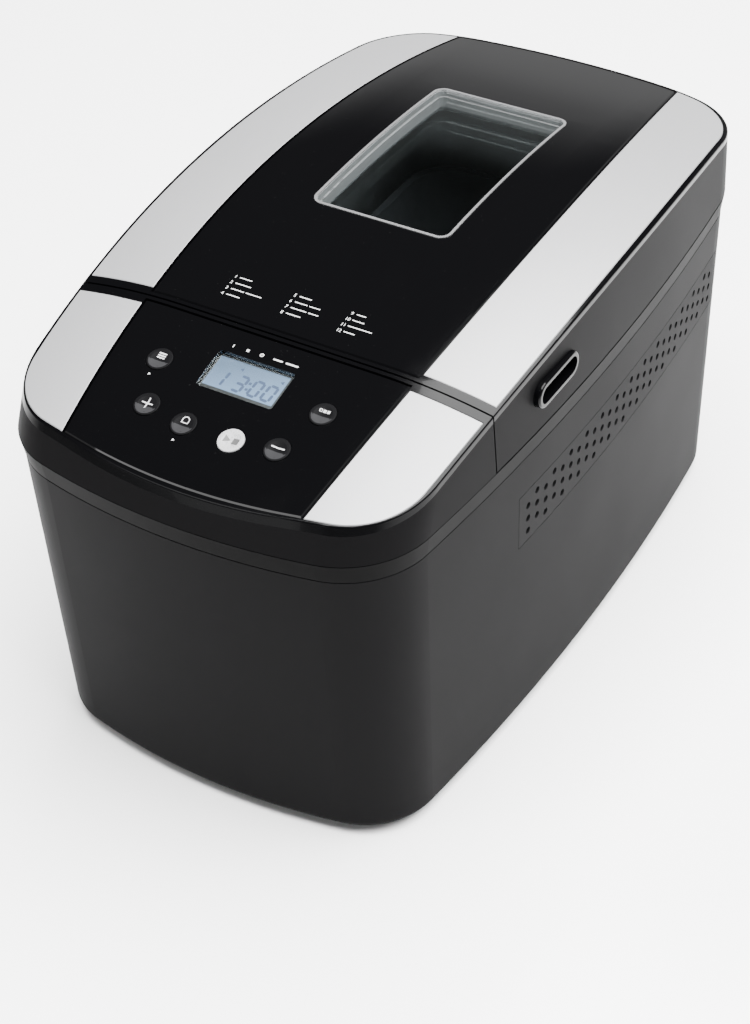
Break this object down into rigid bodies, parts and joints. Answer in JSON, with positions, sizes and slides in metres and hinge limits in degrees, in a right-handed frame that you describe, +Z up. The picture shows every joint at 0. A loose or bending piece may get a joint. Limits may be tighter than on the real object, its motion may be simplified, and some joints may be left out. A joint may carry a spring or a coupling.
{
  "type": "bread machine",
  "caption": "Long two-paddle bread machine with arched hinged lid, viewing window, control panel at the short end, side vents and lift-out pan.",
  "frame": {"origin": "middle of the footprint, on the surface the feet stand on", "axes": "+Z up, -Y towards the control panel at the front, +X to the right seen from the front"},
  "size_m": [0.2592, 0.4386, 0.2498],
  "materials": {
    "body_plastic": "fine moulded texture, black",
    "grille_plastic": "fine moulded texture, charcoal",
    "gloss_black": "high gloss black",
    "silver": "satin silver",
    "black_button": "gloss black with printed mark",
    "light_button": "light grey with printed mark",
    "clear_glass": "clear",
    "lens": "clear",
    "display": "pale blue display",
    "window_frame": "satin",
    "steel": "brushed",
    "element": "dull oxidised steel",
    "cast_aluminium": "as cast",
    "nonstick": "dark non-stick coating",
    "shaft_steel": "ground steel",
    "bronze": "sintered bronze",
    "pulley_plastic": "natural nylon",
    "motor_steel": "plated",
    "belt_rubber": "ribbed rubber",
    "board": "printed circuit board",
    "base_plastic": "black",
    "foot_rubber": "soft rubber"
  },
  "bodies": {
    "root": {"housing": "body_plastic", "base_plate": "base_plastic", "feet": "foot_rubber", "housing_screws": "shaft_steel", "trim_band": "body_plastic", "vent_grille_left": "grille_plastic", "vent_grille_right": "grille_plastic", "cord_inlet": "base_plastic", "control_collar": "body_plastic", "collar_frame": "gloss_black", "control_panel": "gloss_black", "corner_trim_left": "silver", "corner_trim_right": "silver", "lcd_lens": "lens", "lcd_module": "display", "control_board": "board", "chamber_deck": "steel", "chamber_liner": "steel", "heating_element": "element", "temperature_sensor": "steel", "pan_seat": "cast_aluminium", "drive_base": "cast_aluminium", "shaft_bearings": "bronze", "drive_belt": "belt_rubber", "link_belt": "belt_rubber", "motor_body": "motor_steel", "motor_bracket": "motor_steel", "power_board": "board", "hinge_barrel": "base_plastic", "hinge_pin": "shaft_steel"},
    "lid": {"lid_shell": "body_plastic", "lid_frame": "gloss_black", "lid_panel": "gloss_black", "silver_strip_left": "silver", "silver_strip_right": "silver", "window_glass": "clear_glass", "inner_glass": "clear_glass", "window_well": "window_frame", "lid_liner": "steel", "lid_grip_left": "gloss_black", "lid_grip_right": "gloss_black", "hinge_arms": "base_plastic"},
    "pan": {"bread_pan": "nonstick", "pan_bushes": "bronze"},
    "handle": {"pan_handle": "shaft_steel"},
    "front_paddle": {"paddle_front": "nonstick", "paddle_shaft_front": "shaft_steel"},
    "rear_paddle": {"paddle_rear": "nonstick", "paddle_shaft_rear": "shaft_steel"},
    "main_drive": {"main_shaft": "shaft_steel", "main_pulley": "pulley_plastic"},
    "second_drive": {"second_shaft": "shaft_steel", "second_pulley": "pulley_plastic"},
    "motor_rotor": {"motor_pulley": "motor_steel"},
    "menu_button": {"menu_button": "black_button"},
    "colour_button": {"colour_button": "black_button"},
    "plus_button": {"plus_button": "black_button"},
    "minus_button": {"minus_button": "black_button"},
    "loaf_button": {"loaf_button": "black_button"},
    "start_button": {"start_button": "light_button"}
  },
  "joints": [
    {"name": "lid_hinge", "type": "hinge", "parent": "root", "child": "lid", "pos_m": [0, 0.21385, 0.1965], "axis": [-1, 0, 0], "range_deg": [0, 78]},
    {"name": "pan_lift", "type": "slide", "parent": "root", "child": "pan", "axis": [0, 0, 1], "range_m": [0, 0.009]},
    {"name": "handle_fold", "type": "hinge", "parent": "pan", "child": "handle", "pos_m": [0, 0.04015, 0.173], "axis": [0, -1, 0], "range_deg": [0, 180]},
    {"name": "main_drive_spin", "type": "hinge", "parent": "root", "child": "main_drive", "pos_m": [0, -0.0196, 0.05], "axis": [0, 0, 1], "continuous": true},
    {"name": "second_drive_spin", "type": "hinge", "parent": "root", "child": "second_drive", "pos_m": [0, 0.0999, 0.05], "axis": [0, 0, 1], "continuous": true},
    {"name": "motor_spin", "type": "hinge", "parent": "root", "child": "motor_rotor", "pos_m": [-0.034, -0.15735, 0.04], "axis": [0, 0, 1], "continuous": true},
    {"name": "front_paddle_spin", "type": "hinge", "parent": "pan", "child": "front_paddle", "pos_m": [0, -0.0196, 0.08], "axis": [0, 0, 1], "continuous": true},
    {"name": "rear_paddle_spin", "type": "hinge", "parent": "pan", "child": "rear_paddle", "pos_m": [0, 0.0999, 0.08], "axis": [0, 0, 1], "continuous": true},
    {"name": "menu_press", "type": "slide", "parent": "root", "child": "menu_button", "axis": [0, 0.2316, -0.9728], "range_m": [0, 0.0015], "stiffness_N_per_m": 600},
    {"name": "colour_press", "type": "slide", "parent": "root", "child": "colour_button", "axis": [0, 0.2316, -0.9728], "range_m": [0, 0.0015], "stiffness_N_per_m": 600},
    {"name": "plus_press", "type": "slide", "parent": "root", "child": "plus_button", "axis": [0, 0.2652, -0.9642], "range_m": [0, 0.0015], "stiffness_N_per_m": 600},
    {"name": "minus_press", "type": "slide", "parent": "root", "child": "minus_button", "axis": [0, 0.2652, -0.9642], "range_m": [0, 0.0015], "stiffness_N_per_m": 600},
    {"name": "loaf_press", "type": "slide", "parent": "root", "child": "loaf_button", "axis": [0, 0.2697, -0.963], "range_m": [0, 0.0015], "stiffness_N_per_m": 600},
    {"name": "start_press", "type": "slide", "parent": "root", "child": "start_button", "axis": [0, 0.2697, -0.963], "range_m": [0, 0.0015], "stiffness_N_per_m": 600}
  ],
  "couplings": [
    {"joint": "second_drive_spin", "follows": "main_drive_spin", "ratio": 1},
    {"joint": "motor_spin", "follows": "main_drive_spin", "ratio": 5.625},
    {"joint": "front_paddle_spin", "follows": "main_drive_spin", "ratio": 1},
    {"joint": "rear_paddle_spin", "follows": "main_drive_spin", "ratio": 1}
  ]
}
